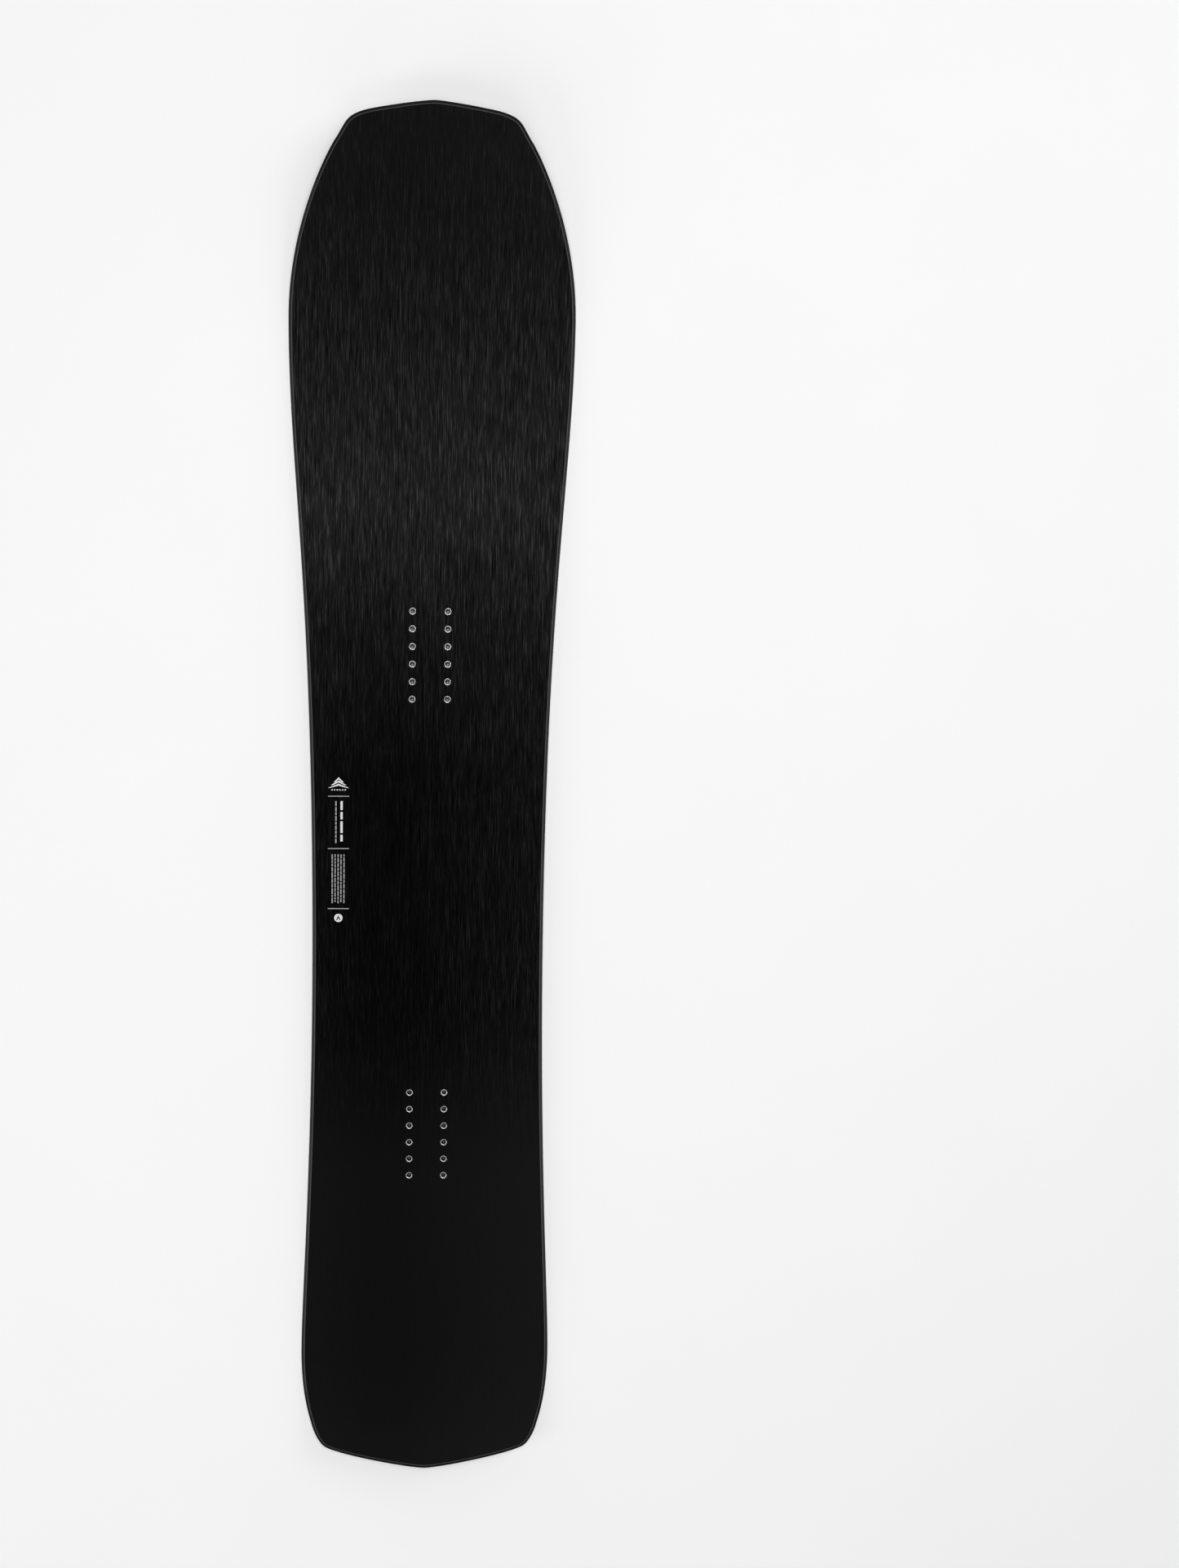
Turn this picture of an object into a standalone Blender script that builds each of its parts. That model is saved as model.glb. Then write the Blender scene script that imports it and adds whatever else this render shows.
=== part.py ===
"""A solid snowboard, lying on its base, modelled as the separate pieces that it is pressed from.

Units are metres and +Z is up. The nose points along +Y and the rider's left is -X, seen from the tail.
The origin is the centre of the plan outline, on the plane that the board rests on.

From the base up, the sandwich is: base sheet and steel edges; lower laminate, level with the edges'
anchoring flanges; rubber foils over the flanges; wood core between two sidewalls and two tip spacers;
upper laminate; topsheet. The threaded inserts stand in the core, flange down, and come up flush with the
topsheet.
"""

import math

import bmesh
import bpy
import numpy as np
from mathutils import Matrix, Vector

MM = 0.001
GAP = 0.3  # between neighbouring pieces, in millimetres like every size below

# ---------------------------------------------------------------------------------------------------
# Plan outline: the right-hand side from the nose point to the tail point, symmetric about the Y axis.
# x, y, heading in degrees (0 is +X and -90 is towards the tail), length of the handle before and after
# ---------------------------------------------------------------------------------------------------
OUTLINE = (
    (0.0, 786.7, 0, 0, 12),  # nose point
    (75.0, 775.3, -16.5, 12, 24),  # the nose's blunt front turns into its corner
    (108.2, 743.5, -55, 22, 4),  # end of the nose corner
    (159.8, 549.4, -90, 110, 171),  # widest, at the nose
    (132.5, -159.9, -90, 424, 257),  # waist
    (145.2, -653.1, -90, 66, 53),  # widest, at the tail
    (132.4, -739.7, -106.5, 8, 10),  # start of the tail corner
    (115.6, -764.2, -155.5, 8, 22),  # the tail corner turns into the tail's blunt front
    (0.0, -786.7, -180, 18, 0),  # tail point
)
HALF_LENGTH = OUTLINE[0][1]
POINT_HALF_WIDTH = 1.5  # the nose and tail points are cut square over this much each side

# Side profile of the base's underside
NOSE_CONTACT = 456.0
TAIL_CONTACT = -660.0
NOSE_RISE = 58.0
NOSE_POWER = 2.2
TAIL_RISE = 28.0
TAIL_POWER = 2.0
CAMBER = 6.0

# Thicknesses
BASE_THICKNESS = 1.2
LAMINATE_THICKNESS = 0.6
TOPSHEET_THICKNESS = 0.5
RUBBER_THICKNESS = 0.3
CORE_THICKNESS = 5.9
CORE_TIP_THICKNESS = 1.9
CORE_FULL_FRONT = 260.0  # the core keeps its full thickness between these two lines
CORE_FULL_REAR = -470.0

# Steel edge
EDGE_HEIGHT = 2.1
EDGE_WIDTH = 2.0
FLANGE_REACH = 6.5  # from the board's outline to the flange's inner side

# Sidewalls and spacers
SIDEWALL_WIDTH = 8.0
SIDEWALL_FOOT = 0.2  # the sidewall's foot stands in from the outline by this much
BEVEL = 3.0  # the sidewall's top stands in by this much
DECK_INSET = BEVEL + GAP
CORE_END = 700.0  # the core ends square this far from the middle, both ways

# Core strips: the planes between them, counted out from the middle
STRIP_PLANES = (8.0, 32.0, 68.0, 104.0)
STRIP_NAMES = ("inner", "middle", "wide", "outer")
BUTT_JOINTS = (452.0, 476.0, 440.0, 464.0, 430.0)  # staggered, centre strip first

# Threaded inserts, M6
INSERT_COLUMNS = {"left": -20.0, "right": 20.0}
INSERT_PACKS = {"front": 175.5, "rear": -384.5}
INSERT_PITCH = 20.0
INSERTS_PER_COLUMN = 6
INSERT_SIDES = 12
FLANGE_RADIUS = 8.5
FLANGE_THICKNESS = 1.0
BARREL_RADIUS = 4.5
BORE_RADIUS = 3.1
BORE_FLOOR = 1.0
RECESS = 0.2  # the insert's top is this far under the topsheet's surface
SEAT_MARGIN_BELOW = 0.18  # the seat is cut past the core's underside by this much, but not into the laminate
SEAT_MARGIN_ABOVE = 2.0  # and past the topsheet by this much
SHARP_ANGLE = math.radians(40)  # the insert's faces meet in a sharp edge from here up

# Heights over the base's underside, where the core has its full thickness
FLANGE_Z = BASE_THICKNESS + GAP
FLANGE_TOP_Z = FLANGE_Z + LAMINATE_THICKNESS
CORE_Z = FLANGE_TOP_Z + GAP
SIDEWALL_Z = CORE_Z + RUBBER_THICKNESS + GAP
UPPER_GAP_Z = CORE_Z + GAP  # and the core's thickness: the upper laminate's underside
TOPSHEET_GAP_Z = UPPER_GAP_Z + LAMINATE_THICKNESS + GAP
DECK_Z = TOPSHEET_GAP_Z + TOPSHEET_THICKNESS
INSERT_HEIGHT = DECK_Z + CORE_THICKNESS - RECESS - CORE_Z

# Stations along the board, from which every long piece is lofted
TIP_ZONE = 40.0
TIP_STEPS = 9
NOSE_STEPS = 14
MIDDLE_STEPS = 18
TAIL_STEPS = 6
LEAST_STEP = 0.9  # a station closer than this to a strip's end is left out
LEAST_SPACER_STEP = 5.0  # the same, for the end of a spacer
CURVE_SAMPLES = 200

# colour, roughness, metallic
FINISHES = {
    "base": ((0.006, 0.006, 0.007), 0.25, 0.0),
    "edge_steel": ((0.42, 0.42, 0.43), 0.35, 1.0),
    "rubber": ((0.02, 0.02, 0.02), 0.85, 0.0),
    "glass_laminate": ((0.62, 0.66, 0.52), 0.45, 0.0),
    "light_wood": ((0.66, 0.52, 0.33), 0.65, 0.0),
    "dark_wood": ((0.48, 0.34, 0.19), 0.65, 0.0),
    "sidewall": ((0.03, 0.03, 0.032), 0.5, 0.0),
    "spacer": ((0.04, 0.04, 0.042), 0.55, 0.0),
    "topsheet": ((0.012, 0.012, 0.014), 0.4, 0.0),
    "insert_steel": ((0.72, 0.71, 0.69), 0.28, 1.0),
}


def clear_scene():
    for thing in list(bpy.data.objects):
        bpy.data.objects.remove(thing, do_unlink=True)


def make_material(name):
    colour, roughness, metallic = FINISHES[name]
    material = bpy.data.materials.new(name)
    material.use_nodes = True
    shader = material.node_tree.nodes["Principled BSDF"]
    shader.inputs["Base Color"].default_value = (*colour, 1.0)
    shader.inputs["Roughness"].default_value = roughness
    shader.inputs["Metallic"].default_value = metallic
    return material


# ---------------------------------------------------------------------------------------------------
# The outline and the side profile
# ---------------------------------------------------------------------------------------------------


def heading(degrees):
    return np.array([math.cos(math.radians(degrees)), math.sin(math.radians(degrees))])


def outline_curve():
    """Points and outward normals along the right-hand side of the outline, from nose to tail."""
    t = np.linspace(0.0, 1.0, CURVE_SAMPLES, endpoint=False)[:, None]
    points = []
    slopes = []
    for start, end in zip(OUTLINE[:-1], OUTLINE[1:]):
        p0 = np.array(start[:2])
        p3 = np.array(end[:2])
        p1 = p0 + heading(start[2]) * start[4]
        p2 = p3 - heading(end[2]) * end[3]
        near_start = (1 - t) ** 3 * p0 + 3 * (1 - t) ** 2 * t * p1
        points.append(near_start + 3 * (1 - t) * t**2 * p2 + t**3 * p3)
        slopes.append((1 - t) ** 2 * (p1 - p0) + 2 * (1 - t) * t * (p2 - p1) + t**2 * (p3 - p2))
    points = np.vstack(points + [np.array([OUTLINE[-1][:2]])])
    slopes = np.vstack(slopes + [heading(OUTLINE[-1][2])[None]])
    slopes /= np.linalg.norm(slopes, axis=1)[:, None]
    return points, np.column_stack([-slopes[:, 1], slopes[:, 0]])


CURVE, NORMALS = outline_curve()


def half_width(y, inset):
    """Half the board's width at y, measured to a line that runs inset within the outline."""
    inner = CURVE - inset * NORMALS
    return float(np.interp(-y, -inner[:, 1], inner[:, 0]))


def station_lines():
    """The y of each station, from the nose point to the tail point."""
    near_tip = TIP_ZONE * (np.arange(TIP_STEPS + 1) / TIP_STEPS) ** 2
    shoulder = HALF_LENGTH - TIP_ZONE
    nose = np.linspace(shoulder, NOSE_CONTACT, NOSE_STEPS + 1)[1:]
    middle = np.linspace(NOSE_CONTACT, TAIL_CONTACT, MIDDLE_STEPS + 1)[1:]
    tail = np.linspace(TAIL_CONTACT, -shoulder, TAIL_STEPS + 1)[1:]
    return np.concatenate([HALF_LENGTH - near_tip, nose, middle, tail, near_tip[-2::-1] - HALF_LENGTH])


STATIONS = station_lines()


def rim(inset):
    """(half width, y) at each station of a line that runs inset within the outline, parallel to it."""
    places = []
    for y in STATIONS:
        if abs(y) == HALF_LENGTH:
            places.append((POINT_HALF_WIDTH, y - math.copysign(inset, y)))
            continue
        x = np.interp(-y, -CURVE[:, 1], CURVE[:, 0])
        nx = np.interp(-y, -CURVE[:, 1], NORMALS[:, 0])
        ny = np.interp(-y, -CURVE[:, 1], NORMALS[:, 1])
        places.append((float(x - inset * nx), float(y - inset * ny)))
    return places


def underside(y):
    """Height of the base's underside: camber between the contact lines, a rise beyond each."""
    if y > NOSE_CONTACT:
        return NOSE_RISE * ((y - NOSE_CONTACT) / (HALF_LENGTH - NOSE_CONTACT)) ** NOSE_POWER
    if y < TAIL_CONTACT:
        return TAIL_RISE * ((TAIL_CONTACT - y) / (HALF_LENGTH + TAIL_CONTACT)) ** TAIL_POWER
    middle = (NOSE_CONTACT + TAIL_CONTACT) / 2
    return CAMBER / 2 * (1 + math.cos(2 * math.pi * (y - middle) / (NOSE_CONTACT - TAIL_CONTACT)))


def slope(y):
    return underside(y + 0.5) - underside(y - 0.5)


def core_thickness(y):
    """Full thickness under the bindings, thinning smoothly to each tip."""
    if y > CORE_FULL_FRONT:
        part = (y - CORE_FULL_FRONT) / (HALF_LENGTH - CORE_FULL_FRONT)
    else:
        part = max(0.0, (CORE_FULL_REAR - y) / (HALF_LENGTH + CORE_FULL_REAR))
    eased = part * part * (3 - 2 * part)
    return CORE_THICKNESS - (CORE_THICKNESS - CORE_TIP_THICKNESS) * eased


def fixed(height):
    """The height of a surface that keeps its distance from the base's underside."""
    return lambda y: underside(y) + height


def over_core(height):
    """The height of a surface that lies on the core, so it follows the core's thickness too."""
    return lambda y: underside(y) + core_thickness(y) + height


# ---------------------------------------------------------------------------------------------------
# Mesh building
# ---------------------------------------------------------------------------------------------------


def add_object(name, mesh, material):
    if not mesh.materials:
        mesh.materials.append(material)
    piece = bpy.data.objects.new(name, mesh)
    bpy.context.scene.collection.objects.link(piece)
    return piece


def mesh_from(bm, name):
    bmesh.ops.recalc_face_normals(bm, faces=bm.faces)
    mesh = bpy.data.meshes.new(name)
    bm.to_mesh(mesh)
    bm.free()
    return mesh


def loft(name, sections, material):
    """One closed body through equal-sized sections, which are loops of (x, y, z) in millimetres."""
    bm = bmesh.new()
    loops = [[bm.verts.new(Vector(p) * MM) for p in section] for section in sections]
    for near, far in zip(loops[:-1], loops[1:]):
        for k in range(len(near)):
            m = (k + 1) % len(near)
            bm.faces.new((near[k], near[m], far[m], far[k]))
    bm.faces.new(loops[0])
    bm.faces.new(loops[-1])
    return add_object(name, mesh_from(bm, name), material)


def full_plate(name, inset, low, high, material):
    """A sheet that fills the outline, inset by so much, between two height functions."""
    sections = []
    for x, y in rim(inset):
        sections.append([(-x, y, low(y)), (x, y, low(y)), (x, y, high(y)), (-x, y, high(y))])
    return loft(name, sections, material)


def strip(name, left, right, lines, low, high, material):
    """A strip along the board between two functions of y for its sides."""
    sections = []
    for y in lines:
        a, b = left(y), right(y)
        sections.append([(a, y, low(y)), (b, y, low(y)), (b, y, high(y)), (a, y, high(y))])
    return loft(name, sections, material)


def lines_between(front, rear):
    """The stations between two lines, with those lines themselves as the first and last."""
    return [front] + [y for y in STATIONS if rear + LEAST_STEP < y < front - LEAST_STEP] + [rear]


def side(sign, inset):
    """The board's left (-1) or right (+1) side, inset, as a function of y."""
    return lambda y: sign * half_width(y, inset)


def plane(x):
    """A straight plane between two core strips, as a function of y like the board's sides."""
    return lambda y: x


def turned(name, profile):
    """A closed turned body from (radius, height) pairs, whose two ends are flat discs."""
    bm = bmesh.new()
    angles = [2 * math.pi * k / INSERT_SIDES for k in range(INSERT_SIDES)]
    rings = []
    for r, z in profile:
        rings.append([bm.verts.new(Vector((r * math.cos(a), r * math.sin(a), z)) * MM) for a in angles])
    for near, far in zip(rings[:-1], rings[1:]):
        for k in range(INSERT_SIDES):
            m = (k + 1) % INSERT_SIDES
            bm.faces.new((near[k], near[m], far[m], far[k]))
    bm.faces.new(rings[0])
    bm.faces.new(rings[-1])
    return mesh_from(bm, name)


# ---------------------------------------------------------------------------------------------------
# The pieces
# ---------------------------------------------------------------------------------------------------


def make_base(materials):
    full_plate("base_sheet", EDGE_WIDTH + GAP, fixed(0.0), fixed(BASE_THICKNESS), materials["base"])


def make_steel_edge(name, sign, material):
    """An L section round half of the outline: a square bar with a thin flange over the base sheet."""
    profile = (
        (0.0, 0.0),
        (EDGE_WIDTH, 0.0),
        (EDGE_WIDTH, FLANGE_Z),
        (FLANGE_REACH, FLANGE_Z),
        (FLANGE_REACH, FLANGE_TOP_Z),
        (0.0, EDGE_HEIGHT),
    )
    rims = [rim(inset) for inset, _ in profile]
    sections = []
    for k in range(len(STATIONS)):
        section = []
        for (_, height), places in zip(profile, rims):
            x, y = places[k]
            x = GAP / 2 if abs(STATIONS[k]) == HALF_LENGTH else x
            section.append((sign * x, y, underside(y) + height))
        sections.append(section)
    loft(name, sections, material)


def make_laminates(materials):
    glass = materials["glass_laminate"]
    full_plate("lower_laminate", FLANGE_REACH + GAP, fixed(FLANGE_Z), fixed(FLANGE_TOP_Z), glass)
    low, high = over_core(UPPER_GAP_Z), over_core(UPPER_GAP_Z + LAMINATE_THICKNESS)
    upper = full_plate("upper_laminate", DECK_INSET, low, high, glass)
    low, high = over_core(TOPSHEET_GAP_Z), over_core(DECK_Z)
    sheet = full_plate("topsheet", DECK_INSET, low, high, materials["topsheet"])
    return [upper, sheet]


def make_side(word, sign, materials):
    """The rubber foil over the edge's flange, and the bevelled sidewall on it."""
    lines = lines_between(CORE_END, -CORE_END)
    inner = side(sign, SIDEWALL_WIDTH)
    low, high = fixed(CORE_Z), fixed(CORE_Z + RUBBER_THICKNESS)
    strip(f"edge_rubber_{word}", side(sign, GAP), inner, lines, low, high, materials["rubber"])
    foot = side(sign, SIDEWALL_FOOT)
    shoulder = side(sign, BEVEL)
    low, high = fixed(SIDEWALL_Z), over_core(CORE_Z)
    sections = [
        [(foot(y), y, low(y)), (inner(y), y, low(y)), (inner(y), y, high(y)), (shoulder(y), y, high(y))]
        for y in lines
    ]
    loft(f"sidewall_{word}", sections, materials["sidewall"])


def make_spacer(name, sign, material):
    """The block that closes the core at the nose (+1) or the tail (-1), bevelled like the sidewalls."""
    start = sign * (CORE_END + GAP)
    low, high = fixed(CORE_Z), over_core(CORE_Z)
    pairs = [((half_width(start, SIDEWALL_FOOT), start), (half_width(start, BEVEL), start))]
    beyond = [k for k, y in enumerate(STATIONS) if sign * y > CORE_END + LEAST_SPACER_STEP]
    foot, shoulder = rim(SIDEWALL_FOOT), rim(BEVEL)
    pairs += [(foot[k], shoulder[k]) for k in (beyond[::-1] if sign > 0 else beyond)]
    sections = []
    for (a, ya), (b, yb) in pairs:
        sections.append([(-a, ya, low(ya)), (a, ya, low(ya)), (b, yb, high(yb)), (-b, yb, high(yb))])
    loft(name, sections, material)


def core_columns():
    """(name, one side, the other side, place in the count from the middle) of each strip."""
    half = GAP / 2
    columns = [("centre", plane(half - STRIP_PLANES[0]), plane(STRIP_PLANES[0] - half), 0)]
    for sign, word in ((-1, "left"), (1, "right")):
        for k, strip_name in enumerate(STRIP_NAMES):
            near = plane(sign * (STRIP_PLANES[k] + half))
            if k + 1 < len(STRIP_PLANES):
                far = plane(sign * (STRIP_PLANES[k + 1] - half))
            else:
                far = side(sign, SIDEWALL_WIDTH + GAP)
            columns.append((f"{strip_name}_{word}", near, far, k + 1))
    return columns


def make_core(materials):
    """Strips side by side. Returns the strips that hold the inserts."""
    low, high = fixed(CORE_Z), over_core(CORE_Z)
    half = GAP / 2
    beds = []
    for name, left, right, k in core_columns():
        wood = materials["light_wood" if k % 2 else "dark_wood"]
        joint = BUTT_JOINTS[k]
        rear = lines_between(joint - half, -CORE_END)
        front = lines_between(CORE_END, joint + half)
        piece = strip(f"core_{name}_rear", left, right, rear, low, high, wood)
        strip(f"core_{name}_front", left, right, front, low, high, wood)
        if name.startswith("inner"):
            beds.append(piece)
    return beds


def insert_places():
    """(name, matrix) for each insert: its axis stands square to the board where it is."""
    for pack, middle in INSERT_PACKS.items():
        for word, x in INSERT_COLUMNS.items():
            for k in range(INSERTS_PER_COLUMN):
                y = middle + INSERT_PITCH * ((INSERTS_PER_COLUMN - 1) / 2 - k)
                where = Matrix.Translation(Vector((x, y, underside(y) + CORE_Z)) * MM)
                yield f"insert_{pack}_{word}_{k + 1}", where @ Matrix.Rotation(math.atan(slope(y)), 4, "X")


def make_inserts(material):
    profile = (
        (FLANGE_RADIUS, 0.0),
        (FLANGE_RADIUS, FLANGE_THICKNESS),
        (BARREL_RADIUS, FLANGE_THICKNESS),
        (BARREL_RADIUS, INSERT_HEIGHT),
        (BORE_RADIUS, INSERT_HEIGHT),
        (BORE_RADIUS, BORE_FLOOR),
    )
    mesh = turned("threaded_insert", profile)
    mesh.shade_smooth()
    mesh.set_sharp_from_angle(angle=SHARP_ANGLE)
    for name, matrix in insert_places():
        add_object(name, mesh, material).matrix_world = matrix


def cut_insert_seats(pieces):
    """Cuts the stepped hole that each insert stands in, with clearance all round."""
    profile = (
        (FLANGE_RADIUS + GAP, -SEAT_MARGIN_BELOW),
        (FLANGE_RADIUS + GAP, FLANGE_THICKNESS + GAP),
        (BARREL_RADIUS + GAP, FLANGE_THICKNESS + GAP),
        (BARREL_RADIUS + GAP, INSERT_HEIGHT + SEAT_MARGIN_ABOVE),
    )
    seat = turned("insert_seat", profile)
    bm = bmesh.new()
    for _, matrix in insert_places():
        one = seat.copy()
        one.transform(matrix)
        bm.from_mesh(one)
    seats = mesh_from(bm, "insert_seats")
    cutter = bpy.data.objects.new("insert_seat_cutter", seats)
    bpy.context.scene.collection.objects.link(cutter)
    cutter.hide_render = True
    cutter.display_type = "WIRE"
    for piece in pieces:
        cut = piece.modifiers.new("insert_seats", "BOOLEAN")
        cut.operation = "DIFFERENCE"
        cut.solver = "EXACT"
        cut.object = cutter


def main():
    clear_scene()
    materials = {name: make_material(name) for name in FINISHES}
    make_base(materials)
    skins = make_laminates(materials)
    beds = make_core(materials)
    for sign, word in ((-1, "left"), (1, "right")):
        make_steel_edge(f"steel_edge_{word}", sign, materials["edge_steel"])
        make_side(word, sign, materials)
    make_spacer("nose_spacer", 1, materials["spacer"])
    make_spacer("tail_spacer", -1, materials["spacer"])
    make_inserts(materials["insert_steel"])
    cut_insert_seats(skins + beds)


main()
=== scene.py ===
"""The finished look of the solid snowboard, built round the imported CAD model.

The pieces that show (topsheet, upper laminate, sidewalls, spacers, steel edges, base sheet and threaded
inserts) are rebuilt here as fine meshes from the same outline and side profile as the CAD. The pieces
inside stay as the CAD has them, with materials of their own. Sizes are in millimetres unless they say
otherwise. The nose points along +Y and the topsheet faces +Z.
"""

import math
import random

import bmesh
import bpy
import numpy as np
from mathutils import Euler, Matrix, Vector


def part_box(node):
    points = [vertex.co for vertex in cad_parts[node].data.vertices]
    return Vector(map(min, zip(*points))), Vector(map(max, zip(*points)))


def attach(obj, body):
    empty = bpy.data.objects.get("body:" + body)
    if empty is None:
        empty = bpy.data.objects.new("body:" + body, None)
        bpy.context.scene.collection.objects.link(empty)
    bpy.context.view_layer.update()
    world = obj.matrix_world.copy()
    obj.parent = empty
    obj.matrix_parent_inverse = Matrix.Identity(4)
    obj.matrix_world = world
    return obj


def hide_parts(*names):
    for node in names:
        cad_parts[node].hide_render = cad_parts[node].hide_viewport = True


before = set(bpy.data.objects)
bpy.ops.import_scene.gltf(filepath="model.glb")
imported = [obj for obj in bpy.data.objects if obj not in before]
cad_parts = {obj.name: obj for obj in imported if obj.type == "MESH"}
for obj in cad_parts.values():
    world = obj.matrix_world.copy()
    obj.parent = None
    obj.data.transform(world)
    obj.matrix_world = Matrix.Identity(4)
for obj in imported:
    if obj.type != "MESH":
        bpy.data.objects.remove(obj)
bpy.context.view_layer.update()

MM = 0.001

# ---------------------------------------------------------------------------------------------------
# The board's own dimensions, as in the CAD
# ---------------------------------------------------------------------------------------------------

# x, y, heading in degrees, length of the handle before and after: the right side, nose to tail
OUTLINE = (
    (0.0, 786.7, 0, 0, 12),
    (75.0, 775.3, -16.5, 12, 24),
    (108.2, 743.5, -55, 22, 4),
    (159.8, 549.4, -90, 110, 171),
    (132.5, -159.9, -90, 424, 257),
    (145.2, -653.1, -90, 66, 53),
    (132.4, -739.7, -106.5, 8, 10),
    (115.6, -764.2, -155.5, 8, 22),
    (0.0, -786.7, -180, 18, 0),
)
HALF_LENGTH = OUTLINE[0][1]
NOSE_CONTACT = 456.0
TAIL_CONTACT = -660.0
NOSE_RISE = 58.0
NOSE_POWER = 2.2
TAIL_RISE = 28.0
TAIL_POWER = 2.0
CAMBER = 6.0
CORE_THICKNESS = 5.9
CORE_TIP_THICKNESS = 1.9
CORE_FULL_FRONT = 260.0
CORE_FULL_REAR = -470.0
CORE_END = 700.0
CORE_Z = 2.4
DECK_Z = 4.1  # the topsheet's surface over the base, less the core's thickness
BASE_THICKNESS = 1.2
EDGE_WIDTH = 2.0
EDGE_HEIGHT = 2.1
FLANGE_Z = 1.5
FLANGE_TOP_Z = 2.1
FLANGE_REACH = 6.5
SIDEWALL_WIDTH = 8.0
SIDEWALL_FOOT = 0.2
SIDEWALL_Z = 2.72
BEVEL = 3.0
INSERT_HEIGHT = 7.4

# ---------------------------------------------------------------------------------------------------
# Sizes of the fine meshes
# ---------------------------------------------------------------------------------------------------
CURVE_SAMPLES = 400
PERIMETER_STATIONS = 210
TURN_WEIGHT = 230.0  # a radian of turning counts as this many millimetres when stations are spread
SIDE_STEP = 8.0
SEAM = 0.05  # hairline between pieces that are glued together
TOPSHEET_RIM = 4.1  # the topsheet's cut edge, in from the outline
LAMINATE_TOP_Z = 3.55
LAMINATE_LEAN = 0.15  # the steep part of its cut edge ends this far in from BEVEL
LAMINATE_FACE = 0.35  # and this far over the core
LAMINATE_CORNER_DROP = 0.1
EASE = 0.25  # rounding on a cut edge
CORNER = 0.3  # the rounding's middle point lies this share of EASE in and down
FLAT_ROW = 1.2  # from a sheet's rim to the end of its first row of flat faces
TOPSHEET_SLANT = 0.12  # how far in the topsheet's cut edge leans
COLUMNS = 12  # faces across the board
SHARP_DEGREES = 32.0  # faces that meet at more than this keep a sharp edge

INSERT_SIDES = 40
THREAD_MINOR = 2.5
THREAD_DEPTH = 0.5
THREAD_PITCH = 1.0
THREAD_ROWS_PER_PITCH = 8
THREAD_TOP = 6.4
THREAD_BOTTOM = 1.3
THREAD_START = 0.3  # the thread begins this far over THREAD_BOTTOM
THREAD_RUN_OUT = 0.6  # and takes this much height to reach its full depth, or to end
BORE_FLOOR = (1.2, 1.05)  # radius and height of the flat at the bore's end
DECK_DROP = 0.2  # from the topsheet's surface to the insert's face
SLOPE_STEP = 0.5  # the board's slope under an insert is taken this far to either side

# (radius, height over the insert's foot), then (radius, depth under its face)
INSERT_FLANGE = ((8.3, 0.0), (8.5, 0.2), (8.5, 0.8), (8.3, 1.0), (4.7, 1.0), (4.5, 1.2))
INSERT_LIP = ((4.5, 0.60), (4.38, 0.42), (4.1, 0.16), (3.9, 0.03), (3.75, 0.0))
INSERT_MOUTH = ((3.5, 0.0), (3.35, 0.03), (3.2, 0.14), (2.62, 0.72))

HOLE_RADIUS = 4.75
HOLE_EASE = 0.4  # the punch widens by this much, at 45 degrees
HOLE_EASE_DEPTH = 0.12  # and starts to, this far under the topsheet's surface
PUNCH_REACH = (3.0, 14.0)  # the punch's two ends, over the insert's foot

# The bevel on sidewalls and spacers: where its face bends, and the small steps at its top and foot
BEVEL_BEND = 1.25
BEVEL_LIP = 0.2
BEVEL_LIP_DROP = 0.35
BEVEL_TOP_DROP = 0.08
SIDEWALL_BEND_SHARE = 0.55  # height of the bend, as a share of the sidewall's
SPACER_BEND_SHARE = 0.6
FOOT_LEAN = 0.15
SIDEWALL_FOOT_HEIGHT = 0.9
SPACER_FOOT_HEIGHT = 0.8

# The steel edge's section: (in from the outline, up), once round from the foot's outer corner
STEEL_PROFILE = (
    (0.12, 0.0),
    (EDGE_WIDTH, 0.0),
    (EDGE_WIDTH, FLANGE_Z),
    (FLANGE_REACH, FLANGE_Z),
    (FLANGE_REACH, FLANGE_TOP_Z),
    (0.3, EDGE_HEIGHT),
    (0.08, EDGE_HEIGHT - 0.08),
    (0.0, EDGE_HEIGHT - 0.3),
    (0.0, 0.12),
    (0.035, 0.035),
)
BASE_EASE = 0.05


# ---------------------------------------------------------------------------------------------------
# Outline and side profile
# ---------------------------------------------------------------------------------------------------


def heading(degrees):
    return np.array([math.cos(math.radians(degrees)), math.sin(math.radians(degrees))])


def outline_curve():
    """Points and outward normals along the right side of the outline, from nose to tail."""
    t = np.linspace(0.0, 1.0, CURVE_SAMPLES, endpoint=False)[:, None]
    points, slopes = [], []
    for start, end in zip(OUTLINE[:-1], OUTLINE[1:]):
        p0, p3 = np.array(start[:2]), np.array(end[:2])
        p1 = p0 + heading(start[2]) * start[4]
        p2 = p3 - heading(end[2]) * end[3]
        near_start = (1 - t) ** 3 * p0 + 3 * (1 - t) ** 2 * t * p1
        points.append(near_start + 3 * (1 - t) * t**2 * p2 + t**3 * p3)
        slopes.append((1 - t) ** 2 * (p1 - p0) + 2 * (1 - t) * t * (p2 - p1) + t**2 * (p3 - p2))
    points = np.vstack(points + [np.array([OUTLINE[-1][:2]])])
    slopes = np.vstack(slopes + [heading(OUTLINE[-1][2])[None]])
    slopes /= np.linalg.norm(slopes, axis=1)[:, None]
    return points, np.column_stack([-slopes[:, 1], slopes[:, 0]])


CURVE, NORMALS = outline_curve()


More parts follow.
